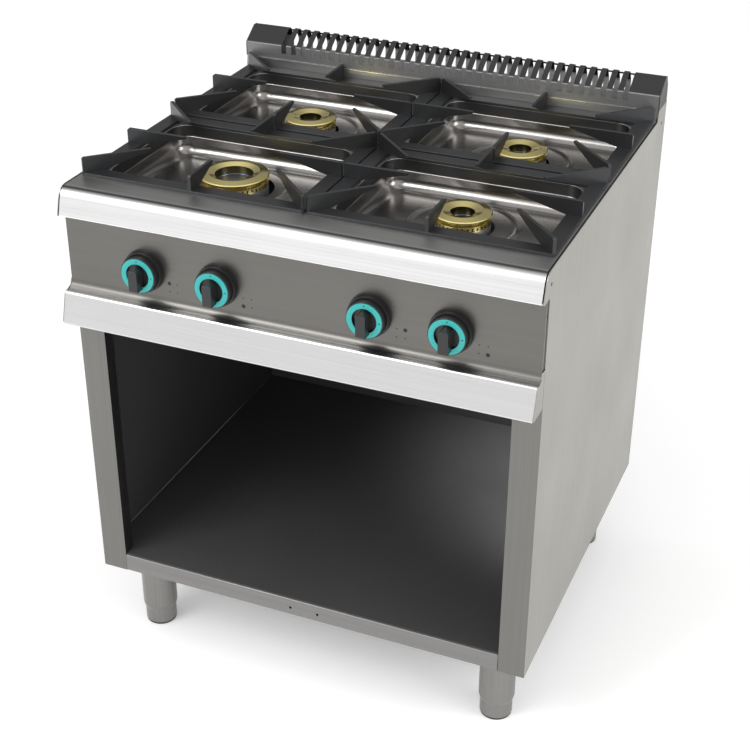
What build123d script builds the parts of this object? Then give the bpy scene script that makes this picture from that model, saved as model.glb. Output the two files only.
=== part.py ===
"""Commercial gas range: four open burners on an open cabinet base, 800 mm module.

Millimetres, +Z up, the front faces -Y and the origin is at the bottom centre of the bounding box.
"""

from build123d import *
import math
import os

os.makedirs("parts", exist_ok=True)

# ---- Overall sizes -------------------------------------------------------------------------
WIDTH = 800.0
BODY_DEPTH = 698.0
BODY_BOTTOM_Z = 152.0
HOB_Z = 900.0
UPSTAND_Z = 920.0
FLUE_TOP_Z = 970.0
FRONT_Y = -324.0
HALF_WIDTH = WIDTH / 2

# ---- Sheet gauges --------------------------------------------------------------------------
PANEL_SHEET = 1.5
LINER_SHEET = 1.0
TRIM_SHEET = 1.2

# ---- Front frame and cabinet ---------------------------------------------------------------
STILE_INNER_X = 353.7
STILE_TOP_Z = 672.0
STILE_RETURN = 25.0
BASE_RAIL_TOP_Z = 185.5
CATCH_HOLE_X = 25.7
CATCH_HOLE_Z = 167.0
CATCH_HOLE_R = 2.5
FRAME_GAP = 0.3
FLOOR_TOP_Z = 187.6
LINER_X = 396.5
CABINET_BACK_Y = 688.5
CEILING_Z = 690.0
REAR_PANEL_Y = 694.0
REAR_FLANGE_Y = 692.4
SCREW_X = 387.0
SCREW_HEIGHTS = (190.0, 400.0, 610.0, 820.0)
SCREW_HEAD_R = 4.2
SCREW_SHANK_R = 2.0
SCREW_HOLE_R = 2.3
REAR_PANEL_TOP_Z = 901.0
JOIN_HOLE_R = 3.0

# ---- Hob -----------------------------------------------------------------------------------
HOB_HALF_X = 396.5
HOB_REAR_Y = 634.5
WELL_X = 197.5
WELL_FRONT_Y = 184.5
WELL_REAR_Y = 486.0
CUTOUT_HALF_X = 166.0
CUTOUT_HALF_Y = 121.5
CUTOUT_CORNER_R = 28.0
LIP_TOP_Z = 881.4
WELL_HALF_X = 163.0
WELL_HALF_Y = 118.5
WELL_CORNER_R = 25.0
WELL_FLOOR_Z = 850.0
WELL_FOOT_R = 18.0
WELL_SHEET = 1.2
LIP_EDGE_R = 2.0

# ---- Burners -------------------------------------------------------------------------------
BURNER_X = 198.0
LARGE_BURNER_X = -201.5
BURNER_FRONT_Y = 195.0
BURNER_REAR_Y = 488.0
CAP_SEAT_Z = 858.0
CAP_TOP_Z = 879.0
SMALL_CAP_R = 47.3
LARGE_CAP_R = 58.5
SMALL_DISH_R = 33.0
LARGE_DISH_R = 43.0
SMALL_EYE_R = 19.5
LARGE_EYE_R = 32.0
SMALL_HOLE_R = 51.0
LARGE_HOLE_R = 63.0
PORT_WIDTH = 2.4
SMALL_PORTS = 36
LARGE_PORTS = 44
CUP_BOTTOM_Z = 806.0
HORN_Z = 822.0
HORN_LENGTH = 112.0
INJECTOR_BACK = HORN_LENGTH + 16.0

# ---- Pan supports --------------------------------------------------------------------------
SUPPORT_X = 197.0
SUPPORT_HALF_X = 195.5
SUPPORT_HALF_Y = 147.0
BAR_WIDTH = 26.0
BAR_HEIGHT = 5.0
FIN_TOP_Z = 930.0
FIN_THICKNESS = 5.6
FIN_TIP_HEIGHT = 4.0
FIN_EDGE = 0.5
SIDE_FIN_LENGTH = 109.0
END_FIN_LENGTH = 74.0
CORNER_FIN_LENGTH = 113.0

# ---- Flue riser ----------------------------------------------------------------------------
FLUE_FOLD_Z = 947.0
FLUE_SLOTS = 34
FLUE_SLOT_PITCH = 20.0
FLUE_SLOT_WIDTH = 10.0
FLUE_FIRST_SLOT_X = -321.0
FLUE_SLOT_BOTTOM_Z = 932.0
FLUE_RIDGE_DEPTH = 684.0
FLUE_REAR_SLOT_TOP_Z = 963.0

# ---- Controls ------------------------------------------------------------------------------
PANEL_Y = -10.0
PANEL_HALF_X = 398.4
KNOB_Z = 778.6
KNOB_XS = (-258.4, -128.0, 128.0, 258.4)
KNOB_NAMES = ("rear_left", "front_left", "rear_right", "front_right")
BEZEL_R = 35.0
BEZEL_STEP_R = 33.5
BEZEL_BORE_R = 31.5
KNOB_R = 30.5
KNOB_BACK_Y = -17.0
KNOB_FACE_Y = -33.0
RING_OUTER_R = 28.6
RING_INNER_R = 20.2
RING_FACE_Y = -34.4
GRIP_FACE_Y = -50.0
GRIP_HALF_WIDTH = 8.0
SPINDLE_R = 4.0
SPINDLE_CLEARANCE = 0.06

# ---- Gas line ------------------------------------------------------------------------------
MANIFOLD_Y = 35.0
MANIFOLD_Z = 742.0
MANIFOLD_R = 11.0
MANIFOLD_BEND_R = 40.0
INLET_X = 350.0
INLET_THREAD_R = 10.5
INLET_HOLE_R = 22.0
INLET_END_Y = 697.0
PIPE_R = 4.0
PIPE_Z = HORN_Z
PIPE_BEND_R = 14.0
PIPE_LAST_RUN = 30.0
REAR_LEFT_RUN_X = -290.0
VALVE_OUTLET_Y = 42.0
VALVE_OUTLET_Z = 797.0

# ---- Legs ----------------------------------------------------------------------------------
LEG_X = 334.0
LEG_FRONT_Y = 72.0
LEG_REAR_Y = 626.0
LEG_R = 31.5
LEG_NECK_R = 28.75
LEG_TAPER_TOP_Z = 42.0
LEG_BOTTOM_Z = 34.0
FOOT_R = 28.4
PAD_R = 27.6
PAD_HEIGHT = 5.0
CHANNEL_HALF_WIDTH = 35.0
CHANNEL_TOP_Z = 185.4


def fy(depth):
    """Y of the plane that lies this far behind the front frame."""
    return FRONT_Y + depth


def slab(x_range, depth_range, z_range, mode=Mode.ADD):
    """Add or cut a block given by its x, depth and z ranges."""
    centre = (sum(x_range) / 2, fy(sum(depth_range) / 2), sum(z_range) / 2)
    with Locations(centre):
        Box(
            x_range[1] - x_range[0],
            depth_range[1] - depth_range[0],
            z_range[1] - z_range[0],
            mode=mode,
        )


def rod(x, depth_range, z, radius, mode=Mode.ADD):
    """Add or cut a round bar that runs along Y."""
    with Locations((x, fy(sum(depth_range) / 2), z)):
        Cylinder(radius, depth_range[1] - depth_range[0], rotation=(90, 0, 0), mode=mode)


def post(x, depth, z_range, radius, mode=Mode.ADD):
    """Add or cut a round bar that runs along Z."""
    with Locations((x, fy(depth), sum(z_range) / 2)):
        Cylinder(radius, z_range[1] - z_range[0], mode=mode)


def bent_section(points, radii, thickness, side):
    """Draw the section of a folded sheet in the open sketch."""
    with BuildLine() as section:
        FilletPolyline(*[(fy(depth), z) for depth, z in points], radius=radii)
        offset(amount=thickness, side=side)
    make_face(section.edges())


def outline(points):
    """Draw a straight-sided face from depth and height pairs."""
    with BuildLine() as edge:
        Polyline(*[(fy(depth), z) for depth, z in points], close=True)
    make_face(edge.edges())


def finish(piece, name):
    """Label a finished part and write it out under its own name."""
    piece.part.label = name
    export_step(piece.part, f"parts/{name}.step")


def finish_mirrored(piece, name):
    """Write out the left-hand twin of a right-hand part."""
    with BuildPart() as twin:
        mirror(piece.part, about=Plane.YZ)
    finish(twin, name)


# ---- Profiles shared by the front bumpers and their end plates ------------------------------
NOSE_OUTLINE = [
    (0.0, 900.0),
    (-8.0, 898.6),
    (-14.0, 895.2),
    (-19.0, 889.0),
    (-21.6, 883.0),
    (-29.4, 856.6),
    (-28.0, 854.5),
    (0.0, 854.5),
]
BUMPER_OUTLINE = [
    (-1.0, 738.0),
    (-10.0, 738.0),
    (-14.1, 728.1),
    (-24.0, 724.0),
    (-27.6, 724.0),
    (-32.2, 720.0),
    (-45.2, 676.0),
    (-43.0, 670.2),
    (-4.0, 670.2),
    (-1.0, 674.0),
]

# ---- Side panels ---------------------------------------------------------------------------
with BuildPart() as side_panel_right:
    with BuildSketch(Plane.YZ.offset(HALF_WIDTH - PANEL_SHEET)):
        outline(
            [
                (0.0, BODY_BOTTOM_Z),
                (BODY_DEPTH, BODY_BOTTOM_Z),
                (BODY_DEPTH, UPSTAND_Z),
                (640.0, UPSTAND_Z),
                (636.5, HOB_Z),
            ]
            + NOSE_OUTLINE
        )
    extrude(amount=PANEL_SHEET)
    slab((STILE_INNER_X, HALF_WIDTH), (0, PANEL_SHEET), (BODY_BOTTOM_Z, STILE_TOP_Z))
    slab(
        (STILE_INNER_X, STILE_INNER_X + PANEL_SHEET),
        (0, STILE_RETURN),
        (BODY_BOTTOM_Z, STILE_TOP_Z),
    )
    slab((375, HALF_WIDTH), (REAR_FLANGE_Y, REAR_FLANGE_Y + PANEL_SHEET), (BODY_BOTTOM_Z, HOB_Z))
    slab((380, HALF_WIDTH), (0, BODY_DEPTH), (BODY_BOTTOM_Z, BODY_BOTTOM_Z + PANEL_SHEET))
    inner_corner = (
        side_panel_right.edges()
        .filter_by(Axis.Z)
        .filter_by_position(Axis.Y, fy(-0.1), fy(0.1))
        .sort_by(Axis.X)[0]
    )
    fillet(inner_corner, radius=1.3)
    for height in SCREW_HEIGHTS:
        rod(SCREW_X, (REAR_FLANGE_Y - 1, REAR_PANEL_Y), height, SCREW_HOLE_R, Mode.SUBTRACT)
    for depth, height in ((3.5, 875.5), (670.0, 888.0)):
        with BuildSketch(Plane((HALF_WIDTH - 5, fy(depth), height), x_dir=(0, 1, 0), z_dir=(1, 0, 0))):
            Circle(JOIN_HOLE_R)
        extrude(amount=10, mode=Mode.SUBTRACT)
finish(side_panel_right, "side_panel_right")
finish_mirrored(side_panel_right, "side_panel_left")

# ---- Front rails ---------------------------------------------------------------------------
RAIL_HALF_X = STILE_INNER_X - FRAME_GAP
with BuildPart() as base_rail:
    with BuildSketch(Plane.YZ):
        bent_section(
            [
                (20.0, BODY_BOTTOM_Z),
                (0.0, BODY_BOTTOM_Z),
                (0.0, BASE_RAIL_TOP_Z),
                (25.0, BASE_RAIL_TOP_Z),
            ],
            2.0,
            PANEL_SHEET,
            Side.RIGHT,
        )
    extrude(amount=RAIL_HALF_X, both=True)
    for x in (-CATCH_HOLE_X, CATCH_HOLE_X):
        rod(x, (-2, 4), CATCH_HOLE_Z, CATCH_HOLE_R, Mode.SUBTRACT)
finish(base_rail, "base_rail")

with BuildPart() as top_rail:
    with BuildSketch(Plane.YZ):
        bent_section(
            [(25.0, 650.0), (0.0, 650.0), (0.0, STILE_TOP_Z), (20.0, STILE_TOP_Z)],
            2.0,
            PANEL_SHEET,
            Side.RIGHT,
        )
    extrude(amount=RAIL_HALF_X, both=True)
finish(top_rail, "top_rail")

# ---- Cabinet lining ------------------------------------------------------------------------
with BuildPart() as cabinet_floor:
    slab((-396, 396), (2, 688), (FLOOR_TOP_Z - PANEL_SHEET, FLOOR_TOP_Z))
    slab((-396, 396), (686.5, 688), (158, FLOOR_TOP_Z))
    for edge_x in (-398, STILE_INNER_X - 0.5):
        slab((edge_x, edge_x + 44.8), (0, STILE_RETURN + 0.6), (180, 190), Mode.SUBTRACT)
finish(cabinet_floor, "cabinet_floor")

with BuildPart() as cabinet_liner_right:
    slab((LINER_X, LINER_X + LINER_SHEET), (2, 688), (FLOOR_TOP_Z + 0.4, CEILING_Z - 0.4))
finish(cabinet_liner_right, "cabinet_liner_right")
finish_mirrored(cabinet_liner_right, "cabinet_liner_left")

with BuildPart() as cabinet_back:
    slab((-396, 396), (CABINET_BACK_Y, CABINET_BACK_Y + TRIM_SHEET), (160, CEILING_Z))
    slab((-396, 396), (CABINET_BACK_Y, 692), (160, 160 + TRIM_SHEET))
finish(cabinet_back, "cabinet_back")

with BuildPart() as cabinet_ceiling:
    slab((-397.8, 397.8), (3, 692), (CEILING_Z, CEILING_Z + TRIM_SHEET))
    slab((-396, 396), (3, 3 + TRIM_SHEET), (676, CEILING_Z + TRIM_SHEET))
finish(cabinet_ceiling, "cabinet_ceiling")

# ---- Rear panel and its screws -------------------------------------------------------------
with BuildPart() as rear_panel:
    slab(
        (-397.8, 397.8),
        (REAR_PANEL_Y, REAR_PANEL_Y + TRIM_SHEET),
        (BODY_BOTTOM_Z + 2.0, REAR_PANEL_TOP_Z),
    )
    rod(INLET_X, (690, 700), MANIFOLD_Z, INLET_HOLE_R, Mode.SUBTRACT)
    for row in range(3):
        with BuildSketch(Plane((0, fy(690), 800 + 24 * row), x_dir=(1, 0, 0), z_dir=(0, 1, 0))):
            with GridLocations(80, 1, 7, 1):
                SlotOverall(56, 8)
        extrude(amount=10, mode=Mode.SUBTRACT)
    for x in (-SCREW_X, SCREW_X):
        for height in SCREW_HEIGHTS:
            rod(x, (690, 700), height, SCREW_HOLE_R, Mode.SUBTRACT)
finish(rear_panel, "rear_panel")

with BuildPart() as rear_panel_screws:
    for x in (-SCREW_X, SCREW_X):
        for height in SCREW_HEIGHTS:
            rod(x, (REAR_PANEL_Y + TRIM_SHEET, BODY_DEPTH - 0.6), height, SCREW_HEAD_R)
            rod(x, (690, REAR_PANEL_Y + TRIM_SHEET + 0.1), height, SCREW_SHANK_R)
    fillet(rear_panel_screws.edges().group_by(Axis.Y)[-1], radius=1.4)
finish(rear_panel_screws, "rear_panel_screws")

# ---- Leg channels under the cabinet floor --------------------------------------------------
with BuildPart() as leg_channels:
    for depth in (LEG_FRONT_Y, LEG_REAR_Y):
        slab(
            (-379.5, 379.5),
            (depth - CHANNEL_HALF_WIDTH, depth + CHANNEL_HALF_WIDTH),
            (BODY_BOTTOM_Z, CHANNEL_TOP_Z),
        )
        slab(
            (-380, 380),
            (depth - CHANNEL_HALF_WIDTH + 2, depth + CHANNEL_HALF_WIDTH - 2),
            (BODY_BOTTOM_Z + 2, CHANNEL_TOP_Z + 1),
            Mode.SUBTRACT,
        )
finish(leg_channels, "leg_channels")

# ---- Hob top -------------------------------------------------------------------------------
WELL_SPOTS = {
    "front_left": (-WELL_X, WELL_FRONT_Y),
    "front_right": (WELL_X, WELL_FRONT_Y),
    "rear_left": (-WELL_X, WELL_REAR_Y),
    "rear_right": (WELL_X, WELL_REAR_Y),
}
CUTOUT_CENTRES = [(x, fy(depth)) for x, depth in WELL_SPOTS.values()]
with BuildPart() as hob_top:
    with BuildSketch(Plane.YZ):
        bent_section(
            [
                (-11.4, 854.5),
                (-30.5, 854.5),
                (-17.0, HOB_Z),
                (HOB_REAR_Y, HOB_Z),
                (HOB_REAR_Y, UPSTAND_Z),
            ],
            (3.0, 20.0, 1.0),
            PANEL_SHEET,
            Side.RIGHT,
        )
    extrude(amount=HOB_HALF_X, both=True)
    for edge_x in (-HOB_HALF_X, HOB_HALF_X - PANEL_SHEET):
        slab((edge_x, edge_x + PANEL_SHEET), (2, 634), (880, HOB_Z - 0.5))
    with BuildSketch(Plane.XY.offset(LIP_TOP_Z + 0.1)):
        with Locations(*CUTOUT_CENTRES):
            RectangleRounded(
                2 * (CUTOUT_HALF_X + PANEL_SHEET),
                2 * (CUTOUT_HALF_Y + PANEL_SHEET),
                CUTOUT_CORNER_R + PANEL_SHEET,
            )
    extrude(amount=HOB_Z - LIP_TOP_Z - 0.1)
    with BuildSketch(Plane.XY.offset(LIP_TOP_Z - 5)):
        with Locations(*CUTOUT_CENTRES):
            RectangleRounded(2 * CUTOUT_HALF_X, 2 * CUTOUT_HALF_Y, CUTOUT_CORNER_R)
    extrude(amount=HOB_Z - LIP_TOP_Z + 10, mode=Mode.SUBTRACT)
    rims = (
        hob_top.edges()
        .filter_by_position(Axis.Z, HOB_Z - 0.01, HOB_Z + 0.01)
        .filter_by_position(Axis.X, -370, 370)
        .filter_by_position(Axis.Y, fy(55), fy(615))
    )
    fillet(rims, radius=1.3)
finish(hob_top, "hob_top")


# ---- Burner wells --------------------------------------------------------------------------
def pressed_well():
    """Outer block and inner cavity of one pressed tray, centred on the origin."""
    with BuildPart() as tray:
        with BuildSketch(Plane.XY.offset(WELL_FLOOR_Z - WELL_SHEET)):
            RectangleRounded(
                2 * (WELL_HALF_X + WELL_SHEET),
                2 * (WELL_HALF_Y + WELL_SHEET),
                WELL_CORNER_R + WELL_SHEET,
            )
        extrude(amount=LIP_TOP_Z - WELL_FLOOR_Z + WELL_SHEET)
        fillet(tray.edges().group_by(Axis.Z)[0], radius=WELL_FOOT_R + WELL_SHEET)
        with BuildSketch(Plane.XY.offset(LIP_TOP_Z - WELL_SHEET)):
            RectangleRounded(337, 248, CUTOUT_CORNER_R + 2)
        extrude(amount=WELL_SHEET)
    with BuildPart() as cavity:
        with BuildSketch(Plane.XY.offset(WELL_FLOOR_Z)):
            RectangleRounded(2 * WELL_HALF_X, 2 * WELL_HALF_Y, WELL_CORNER_R)
        extrude(amount=LIP_TOP_Z - WELL_FLOOR_Z + 1)
        fillet(cavity.edges().group_by(Axis.Z)[0], radius=WELL_FOOT_R)
    return tray.part, cavity.part


def well_at(name):
    """Build the well of one cut-out, with the ring pressed round its burner hole."""
    x, depth = WELL_SPOTS[name]
    burner_y = BURNER_FRONT_Y if name.startswith("front") else BURNER_REAR_Y
    hole_radius = LARGE_HOLE_R if name == "front_left" else SMALL_HOLE_R
    tray, cavity = pressed_well()
    ring = pressed_ring(WELL_FLOOR_Z, 0.0)
    ring_underside = pressed_ring(WELL_FLOOR_Z - WELL_SHEET, 0.8)
    burner_spot = (math.copysign(BURNER_X, x), fy(burner_y), 0)
    with BuildPart() as well:
        with Locations((x, fy(depth), 0)):
            add(tray)
        with Locations((x, fy(depth), 0)):
            add(cavity, mode=Mode.SUBTRACT)
        lip_face = well.faces().sort_by(Axis.Z)[-1]
        fillet(lip_face.inner_wires()[0].edges(), radius=LIP_EDGE_R)
        with BuildSketch(Plane.XY.offset(WELL_FLOOR_Z - 5)):
            with Locations(burner_spot[:2]):
                Circle(hole_radius)
        extrude(amount=10, mode=Mode.SUBTRACT)
        with Locations(burner_spot):
            add(ring)
            add(ring_underside, mode=Mode.SUBTRACT)
    finish(well, f"well_{name}")


def pressed_ring(base_z, inset):
    """Shallow raised ring round the burner hole."""
    with BuildPart() as ring:
        with BuildSketch(Plane.XZ):
            with BuildLine():
                Spline(
                    (79.0 + inset, base_z),
                    (86.0, base_z + 2.4),
                    (93.0 - inset, base_z),
                    tangents=((1, 0), (1, 0)),
                )
                Line((93.0 - inset, base_z), (93.0 - inset, base_z - 0.4))
                Line((93.0 - inset, base_z - 0.4), (79.0 + inset, base_z - 0.4))
                Line((79.0 + inset, base_z - 0.4), (79.0 + inset, base_z))
            make_face()
        revolve(axis=Axis.Z)
    return ring.part


for spot_name in WELL_SPOTS:
    well_at(spot_name)


# ---- Burners -------------------------------------------------------------------------------
def burner_cap(name, x, depth, cap_r, dish_r, eye_r, ports):
    """Brass cap: ridged top with a dished eye, overhanging rim, ported skirt and locating spigot."""
    skirt_r = cap_r - 1.5
    with BuildPart() as cap:
        with BuildSketch(Plane((x, fy(depth), 0), x_dir=(1, 0, 0), z_dir=(0, -1, 0))):
            with BuildLine():
                Polyline(
                    (0, CAP_SEAT_Z + 3.0),
                    (eye_r, CAP_SEAT_Z + 3.0),
                    (eye_r, CAP_TOP_Z - 4.2),
                    (dish_r - 1.5, CAP_TOP_Z - 0.4),
                    (dish_r, CAP_TOP_Z),
                    (dish_r + 1.5, CAP_TOP_Z - 0.2),
                    (cap_r - 1.5, CAP_TOP_Z - 2.8),
                    (cap_r, CAP_TOP_Z - 4.2),
                    (cap_r, CAP_TOP_Z - 5.4),
                    (cap_r - 6.5, CAP_TOP_Z - 7.5),
                    (cap_r - 6.5, CAP_TOP_Z - 11.0),
                    (skirt_r, CAP_TOP_Z - 12.0),
                    (skirt_r, CAP_SEAT_Z),
                    (cap_r - 6.0, CAP_SEAT_Z),
                    (cap_r - 6.0, CAP_SEAT_Z - 6.0),
                    (cap_r - 9.0, CAP_SEAT_Z - 6.0),
                    (cap_r - 9.0, CAP_TOP_Z - 9.0),
                    (eye_r + 3.5, CAP_TOP_Z - 9.0),
                    (eye_r + 3.5, CAP_SEAT_Z),
                    (0, CAP_SEAT_Z),
                    close=True,
                )
            make_face()
        revolve(axis=Axis((x, fy(depth), 0), (0, 0, 1)))
        with Locations((x, fy(depth), CAP_SEAT_Z + 4.6)):
            with PolarLocations(cap_r - 5.0, ports):
                Box(12.0, PORT_WIDTH, 5.0, mode=Mode.SUBTRACT)
    finish(cap, f"burner_cap_{name}")


def burner_body(name, x, depth, cap_r):
    """Cast cup with the mixing horn that runs forward to the injector."""
    cup_r = cap_r - 2.3
    bore_r = cap_r - 5.7
    mouth = depth - HORN_LENGTH
    with BuildPart() as body:
        post(x, depth, (CUP_BOTTOM_Z, CAP_SEAT_Z), cup_r)
        fillet(body.edges().group_by(Axis.Z)[0], radius=8.0)
        rod(x, (mouth, depth), HORN_Z, 13.5)
        rod(x, (mouth, mouth + 10), HORN_Z, 17.0)
        post(x, depth, (CUP_BOTTOM_Z + 4, CAP_SEAT_Z + 1), bore_r, Mode.SUBTRACT)
        rod(x, (mouth - 1, depth), HORN_Z, 10.5, Mode.SUBTRACT)
        with BuildSketch(Plane((x, fy(mouth), HORN_Z), x_dir=(1, 0, 0), z_dir=(0, 1, 0))):
            Circle(14.5)
        extrude(amount=12, taper=18, mode=Mode.SUBTRACT)
    finish(body, f"burner_body_{name}")


BURNERS = {
    "front_left": (LARGE_BURNER_X, BURNER_FRONT_Y, LARGE_CAP_R, LARGE_DISH_R, LARGE_EYE_R, LARGE_PORTS),
    "front_right": (BURNER_X, BURNER_FRONT_Y, SMALL_CAP_R, SMALL_DISH_R, SMALL_EYE_R, SMALL_PORTS),
    "rear_left": (-BURNER_X, BURNER_REAR_Y, SMALL_CAP_R, SMALL_DISH_R, SMALL_EYE_R, SMALL_PORTS),
    "rear_right": (BURNER_X, BURNER_REAR_Y, SMALL_CAP_R, SMALL_DISH_R, SMALL_EYE_R, SMALL_PORTS),
}
for spot_name, burner in BURNERS.items():
    burner_cap(spot_name, *burner)
    burner_body(spot_name, burner[0], burner[1], burner[2])

with BuildPart() as burner_rails:
    for depth in (BURNER_FRONT_Y, BURNER_REAR_Y):
        slab((-397.8, 397.8), (depth - 20, depth + 20), (CUP_BOTTOM_Z - 3, CUP_BOTTOM_Z))
        for edge_x in (-397.8, 395.8):
            slab((edge_x, edge_x + 2), (depth - 20, depth + 20), (780, CUP_BOTTOM_Z))
finish(burner_rails, "burner_rails")


# ---- Pan supports --------------------------------------------------------------------------
def fin_section(reach, bar_span):
    """Side view of one fin: level top, inner lower edge rising to a blunt tip."""
    with BuildLine() as edge:
        Polyline(
            (0, HOB_Z + 0.5),
            (0, FIN_TOP_Z - 3.0),
            (3.0, FIN_TOP_Z),
            (reach, FIN_TOP_Z),
            (reach, FIN_TOP_Z - FIN_TIP_HEIGHT),
            (bar_span, HOB_Z + BAR_HEIGHT - 0.5),
            (bar_span, HOB_Z + 0.5),
            close=True,
        )
    make_face(edge.edges())


def fin(centre, turn, start_x, start_y, reach, bar_span):
    """One upright fin, its top edges eased."""
    direction = Vector(1, 0, 0).rotate(Axis.Z, turn)
    start = Vector(centre[0] + start_x, centre[1] + start_y, 0)
    across = direction.rotate(Axis.Z, -90)
    with BuildPart() as plate:
        with BuildSketch(Plane(start, x_dir=direction, z_dir=across)):
            fin_section(reach, bar_span)
        extrude(amount=FIN_THICKNESS / 2, both=True)
        chamfer(plate.faces().sort_by(Axis.Z)[-1].edges(), length=FIN_EDGE)
    return plate.part


def pan_support(name):
    """Welded frame of four flat bars and eight upright fins."""
    x, depth = WELL_SPOTS[name]
    centre = (math.copysign(SUPPORT_X, x), fy(depth), HOB_Z)
    fins = [fin(centre, *placing) for placing in fin_layout()]
    with BuildPart() as support:
        with BuildSketch(Plane(centre)):
            RectangleRounded(2 * SUPPORT_HALF_X, 2 * SUPPORT_HALF_Y, 4.0)
            Rectangle(
                2 * (SUPPORT_HALF_X - BAR_WIDTH),
                2 * (SUPPORT_HALF_Y - BAR_WIDTH),
                mode=Mode.SUBTRACT,
            )
        extrude(amount=BAR_HEIGHT)
        fillet(support.faces().sort_by(Axis.Z)[-1].edges(), radius=0.8)
        add(fins)
    finish(support, f"pan_support_{name}")


def fin_layout():
    """Turn, start point, reach and bar span of each of the eight fins."""
    far_x = SUPPORT_HALF_X - 0.6
    far_y = SUPPORT_HALF_Y - 0.6
    corner_x = SUPPORT_HALF_X - 1.8
    corner_y = SUPPORT_HALF_Y - 1.8
    corner_span = BAR_WIDTH * math.sqrt(2) - 4.0
    return [
        (0, -far_x, 0, SIDE_FIN_LENGTH, BAR_WIDTH),
        (180, far_x, 0, SIDE_FIN_LENGTH, BAR_WIDTH),
        (90, 0, -far_y, END_FIN_LENGTH, BAR_WIDTH),
        (270, 0, far_y, END_FIN_LENGTH, BAR_WIDTH),
        (45, -corner_x, -corner_y, CORNER_FIN_LENGTH, corner_span),
        (135, corner_x, -corner_y, CORNER_FIN_LENGTH, corner_span),
        (225, corner_x, corner_y, CORNER_FIN_LENGTH, corner_span),
        (315, -corner_x, corner_y, CORNER_FIN_LENGTH, corner_span),
    ]


for spot_name in WELL_SPOTS:
    pan_support(spot_name)

# ---- Flue riser ----------------------------------------------------------------------------
FLUE_POINTS = [
    (636.6, 902.0),
    (636.6, FLUE_FOLD_Z),
    (671.0, FLUE_TOP_Z),
    (682.0, FLUE_TOP_Z),
    (693.6, 949.0),
    (693.6, 902.0),
]
FLUE_END_OUTLINE = [
    (637.4, 904.0),
    (637.4, 947.0),
    (671.4, 969.2),
    (681.4, 969.2),
    (692.8, 949.0),
    (692.8, 904.0),
]
with BuildPart() as flue_riser:
    with BuildSketch(Plane.YZ):
        bent_section(FLUE_POINTS, (1.8, 2.5, 2.5, 1.8), TRIM_SHEET, Side.RIGHT)
    extrude(amount=PANEL_HALF_X, both=True)
    for row in range(FLUE_SLOTS):
        x = FLUE_FIRST_SLOT_X + row * FLUE_SLOT_PITCH
        x_range = (x - FLUE_SLOT_WIDTH / 2, x + FLUE_SLOT_WIDTH / 2)
        slab(x_range, (630, FLUE_RIDGE_DEPTH), (FLUE_SLOT_BOTTOM_Z, FLUE_TOP_Z + 1), Mode.SUBTRACT)
        rear_heights = (FLUE_SLOT_BOTTOM_Z, FLUE_REAR_SLOT_TOP_Z)
        slab(x_range, (FLUE_RIDGE_DEPTH - 0.1, 699), rear_heights, Mode.SUBTRACT)
    for plate_x in (-HALF_WIDTH, PANEL_HALF_X + 0.1):
        with BuildSketch(Plane.YZ.offset(plate_x)):
            outline([(636.6, 920.6)] + FLUE_POINTS[1:5] + [(695.2, 920.6)])
        extrude(amount=PANEL_SHEET)
    for gap_x in (-PANEL_HALF_X - 0.1, PANEL_HALF_X - TRIM_SHEET):
        with BuildSketch(Plane.YZ.offset(gap_x)):
            outline(FLUE_END_OUTLINE)
        extrude(amount=TRIM_SHEET + 0.1)
finish(flue_riser, "flue_riser")

# ---- Control panel -------------------------------------------------------------------------
with BuildPart() as control_panel:
    with BuildSketch(Plane.YZ):
        bent_section(
            [
                (-2.0, 670.0),
                (-47.0, 670.0),
                (-31.0, 724.0),
                (PANEL_Y, 724.0),
                (PANEL_Y, 862.0),
                (8.0, 862.0),
            ],
            (3.5, 6.0, 13.9, 2.0),
            TRIM_SHEET,
            Side.RIGHT,
        )
    extrude(amount=PANEL_HALF_X, both=True)
    for edge_x in (-PANEL_HALF_X, PANEL_HALF_X - TRIM_SHEET):
        slab((edge_x, edge_x + TRIM_SHEET), (PANEL_Y + 0.6, -0.3), (738.4, 861.0))
    for x in KNOB_XS:
        rod(x, (PANEL_Y - 1, PANEL_Y + 2), KNOB_Z, 12.0, Mode.SUBTRACT)
finish(control_panel, "control_panel")

with BuildPart() as control_panel_ends:
    for plate_x in (-HALF_WIDTH, PANEL_HALF_X + 0.1):
        with BuildSketch(Plane.YZ.offset(plate_x)):
            outline(BUMPER_OUTLINE)
        extrude(amount=PANEL_SHEET)
finish(control_panel_ends, "control_panel_ends")


# ---- Knobs, dial rings, spindles and bezels ------------------------------------------------
def knob_plane(x, depth):
    """Plane facing the user at one knob, local x to the right and local y up."""
    return Plane((x, fy(depth), KNOB_Z), x_dir=(1, 0, 0), z_dir=(0, -1, 0))


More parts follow.
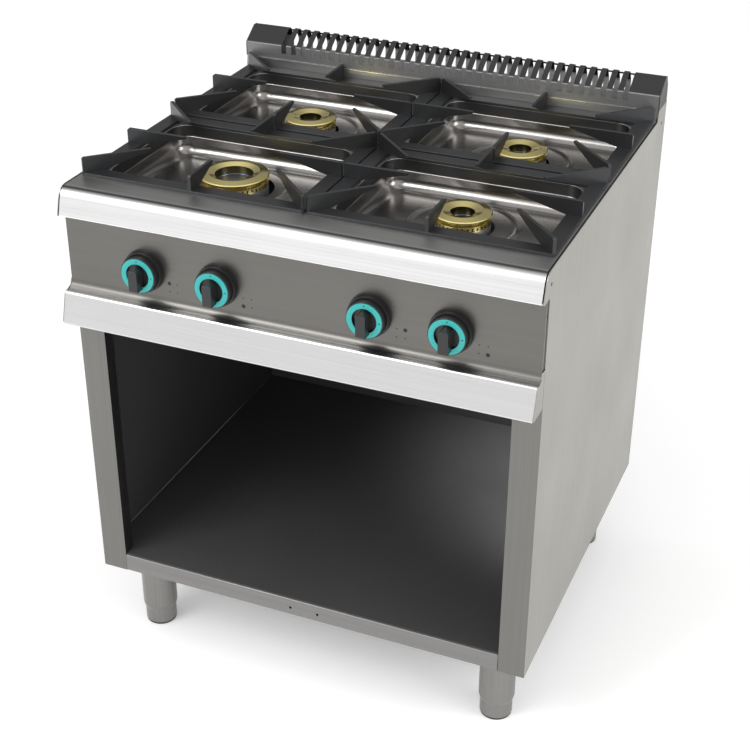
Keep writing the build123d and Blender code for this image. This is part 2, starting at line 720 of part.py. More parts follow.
def knob(name, x):
    """Round skirt with a recessed face and an arrow-shaped grip bar."""
    with BuildPart() as body:
        with BuildSketch(knob_plane(x, KNOB_BACK_Y)):
            Circle(KNOB_R)
        extrude(amount=KNOB_BACK_Y - KNOB_FACE_Y)
        fillet(body.edges().group_by(Axis.Y)[0], radius=0.8)
        with BuildSketch(knob_plane(x, KNOB_FACE_Y)):
            Circle(RING_INNER_R - 0.4)
        extrude(amount=-4.0, mode=Mode.SUBTRACT)
        with BuildSketch(knob_plane(x, KNOB_FACE_Y + 4.0)):
            with BuildLine():
                Polyline(
                    (-GRIP_HALF_WIDTH, -21.5),
                    (GRIP_HALF_WIDTH, -21.5),
                    (GRIP_HALF_WIDTH, 12.5),
                    (0, 19.6),
                    (-GRIP_HALF_WIDTH, 12.5),
                    close=True,
                )
            make_face()
        extrude(amount=KNOB_FACE_Y + 4.0 - GRIP_FACE_Y)
        with BuildSketch(Plane((x, 0, KNOB_Z), x_dir=(0, 1, 0), z_dir=(1, 0, 0))):
            with BuildLine():
                Polyline(
                    (fy(-52), 12.0),
                    (fy(-50), 13.6),
                    (fy(-35), 21.4),
                    (fy(-34), 40),
                    (fy(-52), 40),
                    close=True,
                )
            make_face()
        extrude(amount=12, both=True, mode=Mode.SUBTRACT)
        bore_r = SPINDLE_R + SPINDLE_CLEARANCE
        rod(x, (KNOB_FACE_Y + 0.4, KNOB_BACK_Y), KNOB_Z, bore_r, Mode.SUBTRACT)
        grip_edges = body.edges().filter_by_position(Axis.Y, fy(-50.1), fy(-49.9))
        fillet(grip_edges, radius=0.9)
    with BuildPart() as moulding:
        add(body.part)
        with BuildSketch(knob_plane(x, KNOB_BACK_Y)):
            Circle(27.0)
            Circle(9.0, mode=Mode.SUBTRACT)
        extrude(amount=8.0, mode=Mode.SUBTRACT)
    finish(moulding, f"knob_{name}")


def dial_ring(name, x):
    """Coloured dial ring let in round the grip, with three small index holes."""
    with BuildPart() as ring:
        with BuildSketch(knob_plane(x, KNOB_FACE_Y)):
            Circle(RING_OUTER_R)
            Circle(RING_INNER_R, mode=Mode.SUBTRACT)
            for spot in ((0, 24.6), (24.4, 0), (0, -25.6)):
                with Locations(spot):
                    Circle(1.3, mode=Mode.SUBTRACT)
        extrude(amount=KNOB_FACE_Y - RING_FACE_Y)
        with BuildSketch(knob_plane(x, KNOB_FACE_Y + 1.0)):
            with Locations((0, -10)):
                Rectangle(2 * GRIP_HALF_WIDTH + 0.4, 23.4)
        extrude(amount=3.0, mode=Mode.SUBTRACT)
    finish(ring, f"dial_ring_{name}")


for knob_name, knob_x in zip(KNOB_NAMES, KNOB_XS):
    knob(knob_name, knob_x)
    dial_ring(knob_name, knob_x)
    with BuildPart() as spindle:
        rod(knob_x, (-28.0, 8.0), KNOB_Z, SPINDLE_R)
        chamfer(spindle.edges().group_by(Axis.Y)[0], length=0.6)
    finish(spindle, f"spindle_{knob_name}")

with BuildPart() as knob_bezels:
    for knob_x in KNOB_XS:
        with BuildSketch(knob_plane(knob_x, PANEL_Y)):
            Circle(BEZEL_R)
        extrude(amount=4.0)
        with BuildSketch(knob_plane(knob_x, PANEL_Y - 4.0)):
            Circle(BEZEL_STEP_R)
        extrude(amount=8.0)
        rod(knob_x, (PANEL_Y - 20, PANEL_Y + 1), KNOB_Z, BEZEL_BORE_R, Mode.SUBTRACT)
finish(knob_bezels, "knob_bezels")

# ---- Gas line ------------------------------------------------------------------------------
with BuildPart() as gas_valves:
    for knob_x in KNOB_XS:
        rod(knob_x, (-8.4, 0.0), KNOB_Z, 9.0)
        rod(knob_x, (0.0, 48.0), KNOB_Z, 13.0)
        post(knob_x, MANIFOLD_Y, (MANIFOLD_Z + MANIFOLD_R + 0.1, KNOB_Z), 8.0)
        post(knob_x, VALVE_OUTLET_Y, (KNOB_Z, VALVE_OUTLET_Z), 7.0)
        rod(knob_x, (-9.0, 10.0), KNOB_Z, SPINDLE_R + SPINDLE_CLEARANCE, Mode.SUBTRACT)
finish(gas_valves, "gas_valves")

with BuildPart() as gas_manifold:
    with BuildLine() as manifold_path:
        FilletPolyline(
            (-300.0, fy(MANIFOLD_Y), MANIFOLD_Z),
            (INLET_X, fy(MANIFOLD_Y), MANIFOLD_Z),
            (INLET_X, fy(676.0), MANIFOLD_Z),
            radius=MANIFOLD_BEND_R,
        )
    with BuildSketch(Plane((-300.0, fy(MANIFOLD_Y), MANIFOLD_Z), z_dir=(1, 0, 0))):
        Circle(MANIFOLD_R)
        Circle(MANIFOLD_R - 2.5, mode=Mode.SUBTRACT)
    sweep(path=manifold_path.wire())
    with BuildSketch(Plane((-302.0, fy(MANIFOLD_Y), MANIFOLD_Z), z_dir=(1, 0, 0))):
        Circle(MANIFOLD_R)
    extrude(amount=4.0)
finish(gas_manifold, "gas_manifold")

with BuildPart() as gas_inlet:
    with BuildSketch(Plane((INLET_X, fy(676.1), MANIFOLD_Z), x_dir=(1, 0, 0), z_dir=(0, 1, 0))):
        RegularPolygon(13.5, 6)
    extrude(amount=4.8)
    rod(INLET_X, (680.0, INLET_END_Y), MANIFOLD_Z, INLET_THREAD_R)
    rod(INLET_X, (675.0, INLET_END_Y + 1), MANIFOLD_Z, 7.5, Mode.SUBTRACT)
finish(gas_inlet, "gas_inlet")


def supply_pipe(points):
    """Bare copper pipe swept along straight runs joined by round bends."""
    with BuildLine() as path:
        FilletPolyline(*points, radius=PIPE_BEND_R)
    with BuildSketch(Plane(points[0], z_dir=(0, 0, 1))) as section:
        Circle(PIPE_R)
    sweep(section.sketch, path=path.wire())


with BuildPart() as supply_pipes:
    for burner_name, knob_x in zip(KNOB_NAMES, KNOB_XS):
        burner_x, burner_depth = BURNERS[burner_name][:2]
        turn_depth = max(burner_depth - INJECTOR_BACK - PIPE_LAST_RUN, VALVE_OUTLET_Y)
        run_x = REAR_LEFT_RUN_X if burner_name == "rear_left" else knob_x
        route = [
            (knob_x, fy(VALVE_OUTLET_Y), VALVE_OUTLET_Z + 0.1),
            (knob_x, fy(VALVE_OUTLET_Y), PIPE_Z),
        ]
        if run_x != knob_x:
            route.append((run_x, fy(VALVE_OUTLET_Y), PIPE_Z))
        if turn_depth > VALVE_OUTLET_Y:
            route.append((run_x, fy(turn_depth), PIPE_Z))
        route.append((burner_x, fy(turn_depth), PIPE_Z))
        route.append((burner_x, fy(burner_depth - INJECTOR_BACK), PIPE_Z))
        supply_pipe(route)
finish(supply_pipes, "supply_pipes")

with BuildPart() as injectors:
    for burner_x, burner_depth in (burner[:2] for burner in BURNERS.values()):
        back = burner_depth - INJECTOR_BACK
        hexagon_plane = Plane((burner_x, fy(back + 0.1), HORN_Z), x_dir=(1, 0, 0), z_dir=(0, 1, 0))
        with BuildSketch(hexagon_plane):
            RegularPolygon(7.5, 6)
        extrude(amount=8.0)
        rod(burner_x, (back + 8.0, back + 19.0), HORN_Z, 4.5)
        rod(burner_x, (back, back + 20.0), HORN_Z, 1.2, Mode.SUBTRACT)
finish(injectors, "injectors")

# ---- Legs ----------------------------------------------------------------------------------
LEG_SPOTS = {
    "front_left": (-LEG_X, LEG_FRONT_Y),
    "front_right": (LEG_X, LEG_FRONT_Y),
    "rear_left": (-LEG_X, LEG_REAR_Y),
    "rear_right": (LEG_X, LEG_REAR_Y),
}


def turned(x, depth, points):
    """Revolve a section of radius and height pairs about a vertical axis."""
    with BuildSketch(Plane((x, fy(depth), 0), x_dir=(1, 0, 0), z_dir=(0, -1, 0))) as section:
        with BuildLine():
            Polyline(*points, close=True)
        make_face()
    revolve(section.sketch, axis=Axis((x, fy(depth), 0), (0, 0, 1)))


with BuildPart() as leg_tubes:
    for x, depth in LEG_SPOTS.values():
        turned(
            x,
            depth,
            [
                (0, BODY_BOTTOM_Z - 0.1),
                (LEG_R, BODY_BOTTOM_Z - 0.1),
                (LEG_R, LEG_TAPER_TOP_Z),
                (LEG_NECK_R + 0.8, LEG_BOTTOM_Z),
                (LEG_NECK_R, LEG_BOTTOM_Z),
                (LEG_NECK_R, LEG_TAPER_TOP_Z + 2),
                (LEG_R - 1.5, LEG_TAPER_TOP_Z + 4),
                (LEG_R - 1.5, BODY_BOTTOM_Z - 6),
                (0, BODY_BOTTOM_Z - 6),
            ],
        )
finish(leg_tubes, "leg_tubes")

for spot_name, (x, depth) in LEG_SPOTS.items():
    with BuildPart() as foot:
        turned(
            x,
            depth,
            [
                (0, PAD_HEIGHT),
                (FOOT_R, PAD_HEIGHT),
                (FOOT_R, 96.0),
                (FOOT_R - 2.5, 96.0),
                (FOOT_R - 2.5, PAD_HEIGHT + 4),
                (0, PAD_HEIGHT + 4),
            ],
        )
    finish(foot, f"foot_{spot_name}")
    with BuildPart() as foot_pad:
        turned(
            x,
            depth,
            [(0, 0), (PAD_R - 1.2, 0), (PAD_R, 1.2), (PAD_R, PAD_HEIGHT - 0.1), (0, PAD_HEIGHT - 0.1)],
        )
    finish(foot_pad, f"foot_pad_{spot_name}")
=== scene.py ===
"""Looks of the commercial gas range: finishes, small printed marks, floor, light and camera."""

import math

import bmesh
import bpy
from mathutils import Matrix, Vector


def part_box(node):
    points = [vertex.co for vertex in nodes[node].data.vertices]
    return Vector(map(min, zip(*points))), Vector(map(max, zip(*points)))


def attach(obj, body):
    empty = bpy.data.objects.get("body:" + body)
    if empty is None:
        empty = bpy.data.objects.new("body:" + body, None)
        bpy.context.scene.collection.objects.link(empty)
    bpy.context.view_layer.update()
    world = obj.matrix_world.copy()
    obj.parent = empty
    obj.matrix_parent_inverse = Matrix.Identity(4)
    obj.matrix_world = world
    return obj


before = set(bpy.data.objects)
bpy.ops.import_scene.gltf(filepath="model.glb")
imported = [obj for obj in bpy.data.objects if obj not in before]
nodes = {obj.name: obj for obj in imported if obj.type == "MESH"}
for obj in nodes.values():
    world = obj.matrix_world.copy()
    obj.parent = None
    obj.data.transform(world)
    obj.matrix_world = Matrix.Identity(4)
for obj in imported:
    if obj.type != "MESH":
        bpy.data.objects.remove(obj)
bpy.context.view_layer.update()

# ---- Places in the frame, in metres ----------------------------------------------------------
X, Y, Z = 0, 1, 2
LOW = 0

PANEL_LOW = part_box("control_panel")[LOW]
FRONT_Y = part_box("base_rail")[LOW][Y]
PANEL_FACE_Y = FRONT_Y - 0.010
NOSE_Y = FRONT_Y - 0.010
LOWER_SHELF_Z = PANEL_LOW[Z] + 0.0535
HOB_Z = 0.900
UPSTAND_Z = HOB_Z + 0.020
INNER_FACE_X = 0.3990
FLUE_END_X = 0.3984
FLUE_FOLD_Z = 0.9475
FLUE_SHADE_Z = 0.908
FLUE_REAR_Y = FRONT_Y + 0.690
STILE_TOP_Z = 0.672

LARGE_EYE_R = 0.0320
SMALL_EYE_R = 0.0195
CAP_FLOOR_ABOVE_SPIGOT = 0.0092

SPOTS = ("front_left", "front_right", "rear_left", "rear_right")

# ---- Finishes, some with painted light and shade ---------------------------------------------
# Grain scale along x, y and z, per metre: low along the brushing, high across it.
ALONG_X = (1.5, 260.0, 260.0)
ALONG_Z = (260.0, 260.0, 1.5)
CAST = (420.0, 420.0, 420.0)

SMUDGE_SCALE = 5.0
WAVE_SCALE = 3.0
GRIT_SCALE = 900.0
WAVE_DEPTH = 0.004
GRAIN_DEPTH = 0.0002
EDGE = 0.0004
SHARP = 0.0003


def new_material(name):
    """Empty node material with its output, shader and object coordinates."""
    material = bpy.data.materials.new(name)
    material.use_nodes = True
    tree = material.node_tree
    tree.nodes.clear()
    output = tree.nodes.new("ShaderNodeOutputMaterial")
    shader = tree.nodes.new("ShaderNodeBsdfPrincipled")
    tree.links.new(shader.outputs["BSDF"], output.inputs["Surface"])
    coords = tree.nodes.new("ShaderNodeTexCoord")
    return material, tree, shader, coords.outputs["Object"]


def noise(tree, coords, scale, detail=3.0, stretch=None, roughness=0.55):
    """Noise factor sampled in real-size object coordinates."""
    source = coords
    if stretch is not None:
        mapping = tree.nodes.new("ShaderNodeMapping")
        mapping.inputs["Scale"].default_value = stretch
        tree.links.new(coords, mapping.inputs["Vector"])
        source = mapping.outputs["Vector"]
    texture = tree.nodes.new("ShaderNodeTexNoise")
    texture.inputs["Scale"].default_value = scale
    texture.inputs["Detail"].default_value = detail
    texture.inputs["Roughness"].default_value = roughness
    tree.links.new(source, texture.inputs["Vector"])
    return texture.outputs["Fac"]


def remap(tree, factor, low, high, from_low=0.3, from_high=0.7):
    """Clamped linear remap of a factor."""
    node = tree.nodes.new("ShaderNodeMapRange")
    node.inputs["From Min"].default_value = from_low
    node.inputs["From Max"].default_value = from_high
    node.inputs["To Min"].default_value = low
    node.inputs["To Max"].default_value = high
    tree.links.new(factor, node.inputs["Value"])
    return node.outputs["Result"]


def mix_colour(tree, factor, first, second):
    """Mix of two colours, each a tuple or a socket, by a factor socket."""
    node = tree.nodes.new("ShaderNodeMix")
    node.data_type = "RGBA"
    tree.links.new(factor, node.inputs["Factor"])
    for socket, value in ((node.inputs[6], first), (node.inputs[7], second)):
        if isinstance(value, tuple):
            socket.default_value = (*value, 1.0)
        else:
            tree.links.new(value, socket)
    return node.outputs[2]


def mix_value(tree, factor, first, second):
    """Mix of two value sockets by a factor socket."""
    node = tree.nodes.new("ShaderNodeMix")
    node.data_type = "FLOAT"
    tree.links.new(factor, node.inputs["Factor"])
    tree.links.new(first, node.inputs[2])
    tree.links.new(second, node.inputs[3])
    return node.outputs[0]


def add_bump(tree, shader, layers):
    """Chain of bump nodes from (height socket, strength, distance in metres) layers."""
    previous = None
    for height, strength, distance in layers:
        bump = tree.nodes.new("ShaderNodeBump")
        bump.inputs["Strength"].default_value = strength
        bump.inputs["Distance"].default_value = distance
        tree.links.new(height, bump.inputs["Height"])
        if previous is not None:
            tree.links.new(previous, bump.inputs["Normal"])
        previous = bump.outputs["Normal"]
    tree.links.new(previous, shader.inputs["Normal"])


def radius_from(tree, coords, centre):
    """Horizontal distance from a vertical axis."""
    flatten = tree.nodes.new("ShaderNodeVectorMath")
    flatten.operation = "MULTIPLY"
    flatten.inputs[1].default_value = (1.0, 1.0, 0.0)
    tree.links.new(coords, flatten.inputs[0])
    distance = tree.nodes.new("ShaderNodeVectorMath")
    distance.operation = "DISTANCE"
    distance.inputs[1].default_value = (*centre, 0.0)
    tree.links.new(flatten.outputs["Vector"], distance.inputs[0])
    return distance.outputs["Value"]


def scaled(colour, factor):
    """Colour made darker or lighter, kept below white."""
    return tuple(min(1.0, channel * factor) for channel in colour)


def grained_colour(tree, grain, base, spread):
    """Base colour varied along the grain."""
    shades = (scaled(base, 1.0 - spread), scaled(base, 1.0 + spread))
    return mix_colour(tree, remap(tree, grain, 0.0, 1.0), *shades)


def surface(
    name,
    base,
    spread=0.06,
    rough=(0.28, 0.38),
    metallic=1.0,
    grain=ALONG_X,
    grain_bump=0.12,
    wave_bump=0.05,
    speckle=0.0,
    zones=(),
):
    """Brushed, cast or moulded finish with grain, smudges and a slight unevenness.

    Each zone is (place, start, end, base colour, roughness). Its colour and roughness take over from
    start to end, measured along an axis, or outwards from a vertical axis when place gives its x and
    y.
    Some zones paint light or shade into the colour.
    """
    material, tree, shader, coords = new_material(name)
    shader.inputs["Metallic"].default_value = metallic
    fine = noise(tree, coords, 1.0, detail=4.0, stretch=grain)
    smudge = noise(tree, coords, SMUDGE_SCALE, detail=4.0)
    wave = noise(tree, coords, WAVE_SCALE, detail=1.0)
    colour = grained_colour(tree, fine, base, spread)
    roughness = remap(tree, smudge, rough[0], rough[1])
    if speckle > 0.0:
        grit = noise(tree, coords, GRIT_SCALE, detail=2.0, roughness=0.7)
        spots = remap(tree, grit, 0.0, 1.0, 0.52, 0.72)
        colour = mix_colour(tree, spots, colour, scaled(base, 1.0 + speckle))
    split = tree.nodes.new("ShaderNodeSeparateXYZ")
    tree.links.new(coords, split.inputs["Vector"])
    for place, start, end, zone_base, zone_rough in zones:
        if isinstance(place, tuple):
            position = radius_from(tree, coords, place)
        else:
            position = split.outputs[place]
        step = remap(tree, position, 0.0, 1.0, start, end)
        colour = mix_colour(tree, step, colour, grained_colour(tree, fine, zone_base, spread))
        roughness = mix_value(tree, step, roughness, remap(tree, smudge, *zone_rough))
    tree.links.new(colour, shader.inputs["Base Color"])
    tree.links.new(roughness, shader.inputs["Roughness"])
    add_bump(tree, shader, [(wave, wave_bump, WAVE_DEPTH), (fine, grain_bump, GRAIN_DEPTH)])
    return material


def grey(level):
    """Neutral colour."""
    return (level, level, level)


# Roughness ranges shared by several finishes.
POLISHED = (0.22, 0.30)
SATIN = (0.34, 0.44)
DULL = (0.40, 0.50)

SIDE_BASE = (0.35, 0.34, 0.31)
STEEL_SIDE = surface(
    "steel_side",
    SIDE_BASE,
    rough=SATIN,
    grain=ALONG_Z,
    zones=(
        (X, EDGE - INNER_FACE_X, 2 * EDGE - INNER_FACE_X, grey(0.13), SATIN),
        (X, INNER_FACE_X - EDGE, INNER_FACE_X, SIDE_BASE, SATIN),
        # Front stile face below the stile top: a darker copy of the side steel, painted shade on the
        # front face.
        (Y, FRONT_Y + 3 * EDGE, FRONT_Y + 2 * EDGE, (0.195, 0.190, 0.180), SATIN),
        (Z, STILE_TOP_Z, STILE_TOP_Z + 0.001, SIDE_BASE, SATIN),
    ),
)
STEEL_FRAME = surface("steel_frame", (0.24, 0.235, 0.23), rough=(0.32, 0.42), grain=ALONG_X)
STEEL_HOB = surface(
    "steel_hob",
    (0.42, 0.42, 0.41),
    rough=(0.38, 0.46),
    zones=(
        # Below the hob surface (the cutout drop walls and the lower part of their edge fillets):
        # dark grey, painted shade that also dims the edge highlight.
        (Z, HOB_Z - 0.0002, HOB_Z - 0.0009, grey(0.075), DULL),
        # Front nose: polished finish with a paler base colour, a painted highlight for the reflected
        # overhead light.
        (Y, NOSE_Y, NOSE_Y - 0.008, grey(0.80), POLISHED),
        # Top edge of the rear upstand: near-white base, a painted highlight.
        (Z, UPSTAND_Z - 0.0010, UPSTAND_Z - 0.0005, grey(0.95), POLISHED),
    ),
)
STEEL_PANEL = surface(
    "steel_panel",
    (0.165, 0.159, 0.148),
    spread=0.03,
    rough=(0.32, 0.42),
    grain_bump=0.06,
    # Lower bumper below the shelf line: polished finish with a paler base colour, a painted
    # highlight for the reflected overhead light.
    zones=((Z, LOWER_SHELF_Z + 0.004, LOWER_SHELF_Z, grey(0.66), POLISHED),),
)
STEEL_FLUE = surface(
    "steel_flue",
    grey(0.22),
    metallic=0.6,
    rough=(0.34, 0.46),
    zones=(
        # Sloped top above the fold: near-black base, painted shade on the top rib faces.
        (Z, FLUE_FOLD_Z, FLUE_FOLD_Z + 0.001, grey(0.035), (0.34, 0.46)),
        # Rear sheet behind the slots: pale base, painted light for the lit inside of the riser seen
        # through the slots.
        (Y, FLUE_REAR_Y, FLUE_REAR_Y + 0.001, grey(0.70), DULL),
        (Z, FLUE_SHADE_Z, FLUE_SHADE_Z - 0.001, grey(0.03), DULL),
        (X, FLUE_END_X - EDGE, FLUE_END_X, grey(0.05), DULL),
        (X, EDGE - FLUE_END_X, -FLUE_END_X, grey(0.05), DULL),
    ),
)
STEEL_WELL = surface(
    "steel_well",
    (0.29, 0.28, 0.27),
    rough=(0.20, 0.26),
    grain=CAST,
    grain_bump=0.03,
    wave_bump=0.03,
)
STEEL_LEG = surface("steel_leg", (0.24, 0.235, 0.225), rough=(0.28, 0.36), grain=ALONG_Z)
LINING = surface(
    "lining",
    grey(0.10),
    metallic=0.5,
    rough=(0.42, 0.55),
    grain=CAST,
    speckle=0.5,
    grain_bump=0.3,
)
REAR_STEEL = surface("rear_steel", grey(0.45), rough=(0.40, 0.55), grain=ALONG_Z)
ENAMEL = surface(
    "dark_enamel",
    (0.044, 0.045, 0.047),
    metallic=0.6,
    rough=(0.28, 0.38),
    grain=CAST,
    grain_bump=0.15,
    spread=0.12,
)
BRASS_BASE = (0.84, 0.72, 0.32)
BRASS = surface("brass", BRASS_BASE, rough=(0.20, 0.30), grain=ALONG_X, grain_bump=0.06, spread=0.05)


def cap_brass(spot):
    """Brass of one burner cap: bright rim, dark brownish eye wall and a grey burner floor inside it.
    """
    low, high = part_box(f"burner_cap_{spot}")
    centre = ((low[X] + high[X]) / 2, (low[Y] + high[Y]) / 2)
    eye_radius = LARGE_EYE_R if spot == "front_left" else SMALL_EYE_R
    floor_z = low[Z] + CAP_FLOOR_ABOVE_SPIGOT
    return surface(
        f"brass_cap_{spot}",
        (0.40, 0.46, 0.62),
        rough=(0.24, 0.34),
        grain=CAST,
        grain_bump=0.06,
        spread=0.05,
        zones=(
            # Eye wall above the cap floor: dark brownish brass.
            (Z, floor_z, floor_z + SHARP, (0.09, 0.07, 0.025), (0.24, 0.34)),
            (centre, eye_radius, eye_radius + SHARP, BRASS_BASE, (0.14, 0.20)),
        ),
    )


CAST_METAL = surface(
    "cast_metal",
    (0.52, 0.52, 0.54),
    metallic=0.9,
    rough=(0.38, 0.5),
    grain=CAST,
    grain_bump=0.4,
    spread=0.1,
)
COPPER = surface("copper", (0.72, 0.38, 0.26), rough=(0.28, 0.42), grain=CAST, grain_bump=0.05)
PIPE_PAINT = surface(
    "pipe_paint",
    (0.30, 0.30, 0.31),
    metallic=0.0,
    rough=(0.45, 0.6),
    grain=CAST,
    grain_bump=0.2,
)
ZINC = surface("zinc", (0.66, 0.66, 0.64), rough=(0.25, 0.4), grain=CAST, grain_bump=0.05)
BLACK = surface(
    "black_plastic",
    (0.016, 0.016, 0.017),
    metallic=0.0,
    rough=(0.28, 0.36),
    grain=CAST,
    grain_bump=0.10,
    spread=0.15,
)
PAD = surface(
    "pad_plastic",
    grey(0.018),
    metallic=0.0,
    rough=(0.5, 0.65),
    grain=CAST,
    grain_bump=0.3,
)
TURQUOISE = surface(
    "turquoise",
    (0.030, 0.40, 0.385),
    metallic=0.0,
    rough=(0.28, 0.38),
    grain=CAST,
    grain_bump=0.06,
    spread=0.06,
)
MARK = surface(
    "printed_mark",
    grey(0.004),
    metallic=0.0,
    rough=DULL,
    grain=CAST,
    grain_bump=0.05,
)

FINISHES = {
    "side_panel_left": STEEL_SIDE,
    "side_panel_right": STEEL_SIDE,
    "base_rail": STEEL_FRAME,
    "top_rail": STEEL_FRAME,
    "cabinet_floor": LINING,
    "cabinet_liner_left": LINING,
    "cabinet_liner_right": LINING,
    "cabinet_back": LINING,
    "cabinet_ceiling": LINING,
    "rear_panel": REAR_STEEL,
    "rear_panel_screws": ZINC,
    "leg_channels": REAR_STEEL,
    "burner_rails": REAR_STEEL,
    "control_panel": STEEL_PANEL,
    "control_panel_ends": STEEL_SIDE,
    "hob_top": STEEL_HOB,
    "flue_riser": STEEL_FLUE,
    "knob_bezels": BLACK,
    "gas_valves": BRASS,
    "gas_manifold": PIPE_PAINT,
    "gas_inlet": BRASS,
    "supply_pipes": COPPER,
    "injectors": BRASS,
    "leg_tubes": STEEL_LEG,
}
for spot in SPOTS:
    FINISHES[f"well_{spot}"] = STEEL_WELL
    FINISHES[f"pan_support_{spot}"] = ENAMEL
    FINISHES[f"burner_cap_{spot}"] = cap_brass(spot)
    FINISHES[f"burner_body_{spot}"] = CAST_METAL
    FINISHES[f"knob_{spot}"] = BLACK
    FINISHES[f"dial_ring_{spot}"] = TURQUOISE
    FINISHES[f"spindle_{spot}"] = ZINC
    FINISHES[f"foot_{spot}"] = STEEL_LEG
    FINISHES[f"foot_pad_{spot}"] = PAD

for node_name, node in nodes.items():
    node.data.materials.clear()
    node.data.materials.append(FINISHES[node_name])


# ---- Printed burner marks --------------------------------------------------------------------
def knob_centre(spot):
    """Centre of a knob's dial ring in x and z."""
    low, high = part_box(f"dial_ring_{spot}")
    return (low[X] + high[X]) / 2, (low[Z] + high[Z]) / 2


MARK_OFFSET_X = 0.0497
MARK_DROP = 0.0226
MARK_PITCH = 0.014
BIG_DOT_R = 0.0033
SMALL_DOT_R = 0.0012
DOT_SIDES = 24
INK_HEIGHT = 0.00006


def dot_group(spot):
    """Two by two dots beside a knob, the big one standing for the knob's own burner."""
    knob_x, knob_z = knob_centre(spot)
    mesh = bmesh.new()
    for name in SPOTS:
        side = -0.5 if name.endswith("left") else 0.5
        level = -0.5 if name.startswith("front") else 0.5
        radius = BIG_DOT_R if name == spot else SMALL_DOT_R
        x = knob_x + MARK_OFFSET_X + side * MARK_PITCH
        z = knob_z - MARK_DROP + level * MARK_PITCH
        facing_front = Matrix.Rotation(math.pi / 2, 4, "X")
        place = Matrix.Translation((x, PANEL_FACE_Y - INK_HEIGHT, z)) @ facing_front
        bmesh.ops.create_circle(
            mesh, cap_ends=True, segments=DOT_SIDES, radius=radius, matrix=place
        )
    data = bpy.data.meshes.new(f"marks_{spot}")
    mesh.to_mesh(data)
    mesh.free()
    data.materials.append(MARK)
    marks = bpy.data.objects.new(f"marks_{spot}", data)
    bpy.context.collection.objects.link(marks)
    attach(marks, "range")


for spot in SPOTS:
    dot_group(spot)


# ---- Floor, world and lights -----------------------------------------------------------------
FLOOR_HALF = 14.0
FLOOR_TONES = (grey(0.86), grey(0.89))
FLOOR_GLOW = 0.24


def floor():
    """Plain pale floor under the range."""
    data = bpy.data.meshes.new("floor")
    corners = [
        (side_x * FLOOR_HALF, side_y * FLOOR_HALF, 0.0)
        for side_x, side_y in ((-1, -1), (1, -1), (1, 1), (-1, 1))
    ]
    data.from_pydata(corners, [], [(0, 1, 2, 3)])
    material, tree, shader, coords = new_material("floor")
    cloud = remap(tree, noise(tree, coords, 0.8), 0.0, 1.0)
    tone = mix_colour(tree, cloud, *FLOOR_TONES)
    tree.links.new(tone, shader.inputs["Base Color"])
    shader.inputs["Emission Color"].default_value = (1.0, 1.0, 1.0, 1.0)
    shader.inputs["Emission Strength"].default_value = FLOOR_GLOW
    shader.inputs["Roughness"].default_value = 0.9
    shader.inputs["Specular IOR Level"].default_value = 0.1
    data.materials.append(material)
    plane = bpy.data.objects.new("floor", data)
    bpy.context.collection.objects.link(plane)


BRIGHT_SKY_TOWARDS = (0.10, -0.75, 0.65)
SKY_SPAN = (-0.25, 0.65)
SKY_STRENGTHS = (0.30, 1.02)


def studio_world():
    """Soft surround: bright in front and overhead, darker behind the range."""
    world = bpy.data.worlds.new("studio")
    bpy.context.scene.world = world
    world.use_nodes = True
    tree = world.node_tree
    tree.nodes.clear()
    output = tree.nodes.new("ShaderNodeOutputWorld")
    background = tree.nodes.new("ShaderNodeBackground")
    tree.links.new(background.outputs["Background"], output.inputs["Surface"])
    coords = tree.nodes.new("ShaderNodeTexCoord")
    towards = tree.nodes.new("ShaderNodeVectorMath")
    towards.operation = "DOT_PRODUCT"
    towards.inputs[1].default_value = Vector(BRIGHT_SKY_TOWARDS).normalized()
    tree.links.new(coords.outputs["Generated"], towards.inputs[0])
    ramp = tree.nodes.new("ShaderNodeMapRange")
    ramp.interpolation_type = "SMOOTHSTEP"
    ramp.inputs["From Min"].default_value = SKY_SPAN[0]
    ramp.inputs["From Max"].default_value = SKY_SPAN[1]
    ramp.inputs["To Min"].default_value = SKY_STRENGTHS[0]
    ramp.inputs["To Max"].default_value = SKY_STRENGTHS[1]
    tree.links.new(towards.outputs["Value"], ramp.inputs["Value"])
    background.inputs["Color"].default_value = (1.0, 1.0, 1.0, 1.0)
    tree.links.new(ramp.outputs["Result"], background.inputs["Strength"])


def area_light(name, place, target, size, power):
    """Soft rectangular light aimed at a point."""
    data = bpy.data.lights.new(name, "AREA")
    data.shape = "RECTANGLE"
    data.size, data.size_y = size
    data.energy = power
    light = bpy.data.objects.new(name, data)
    light.location = place
    light.rotation_euler = (Vector(target) - Vector(place)).to_track_quat("-Z", "Y").to_euler()
    bpy.context.collection.objects.link(light)


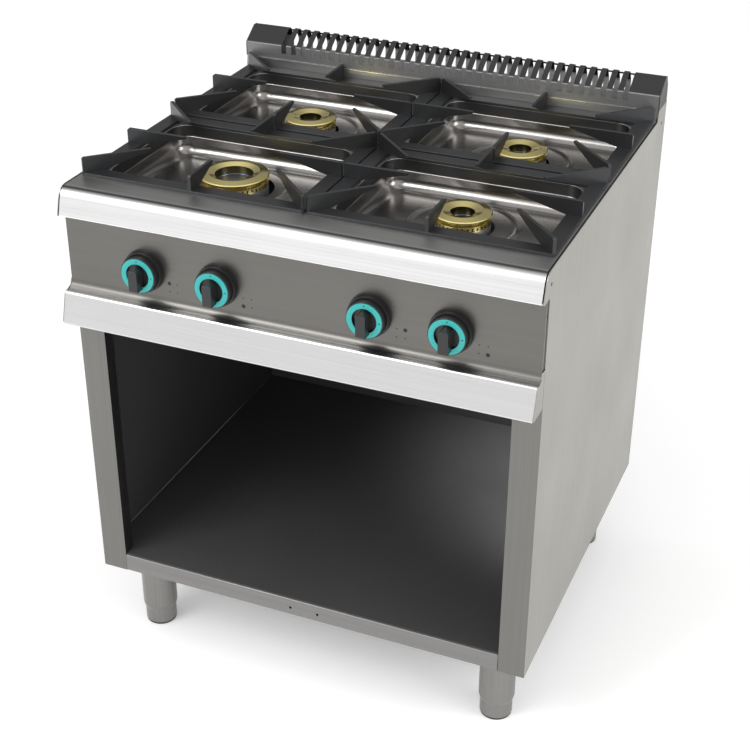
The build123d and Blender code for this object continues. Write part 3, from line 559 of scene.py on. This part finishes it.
CABINET_LIGHT_PLACE = (0.27, 0.27, 0.60)
CABINET_LIGHT_POWER = 8.0
CABINET_LIGHT_ANGLE = 95.0


def cabinet_light():
    """Soft glow on the right rear of the cabinet floor."""
    data = bpy.data.lights.new("cabinet", "SPOT")
    data.energy = CABINET_LIGHT_POWER
    data.spot_size = math.radians(CABINET_LIGHT_ANGLE)
    data.spot_blend = 1.0
    data.shadow_soft_size = 0.05
    light = bpy.data.objects.new("cabinet", data)
    light.location = CABINET_LIGHT_PLACE
    bpy.context.collection.objects.link(light)


floor()
studio_world()
area_light("key", (-1.6, -2.6, 3.2), (0.0, 0.0, 0.6), (1.8, 1.8), 60.0)
cabinet_light()
area_light("side", (3.2, -0.4, 2.4), (0.3, 0.0, 0.5), (1.6, 1.6), 40.0)

# ---- Camera ----------------------------------------------------------------------------------
CAMERA_PLACE = (0.89265, -2.1617, 1.8119)
CAMERA_TURN = 0.39243
CAMERA_PITCH = -0.52146
CAMERA_ROLL = 0.0042145
CAMERA_LENS = 71.594

forward = Vector(
    (
        -math.sin(CAMERA_TURN) * math.cos(CAMERA_PITCH),
        math.cos(CAMERA_TURN) * math.cos(CAMERA_PITCH),
        math.sin(CAMERA_PITCH),
    )
)
level_right = Vector((math.cos(CAMERA_TURN), math.sin(CAMERA_TURN), 0.0))
level_up = level_right.cross(forward)
right = level_right * math.cos(CAMERA_ROLL) + level_up * math.sin(CAMERA_ROLL)
up = level_up * math.cos(CAMERA_ROLL) - level_right * math.sin(CAMERA_ROLL)
camera_data = bpy.data.cameras.new("camera")
camera_data.sensor_width = 36.0
camera_data.lens = CAMERA_LENS
camera = bpy.data.objects.new("camera", camera_data)
camera.matrix_world = Matrix(
    (
        (right.x, up.x, -forward.x, CAMERA_PLACE[0]),
        (right.y, up.y, -forward.y, CAMERA_PLACE[1]),
        (right.z, up.z, -forward.z, CAMERA_PLACE[2]),
        (0.0, 0.0, 0.0, 1.0),
    )
)
bpy.context.collection.objects.link(camera)
bpy.context.scene.camera = camera
bpy.context.scene.view_settings.view_transform = "Standard"
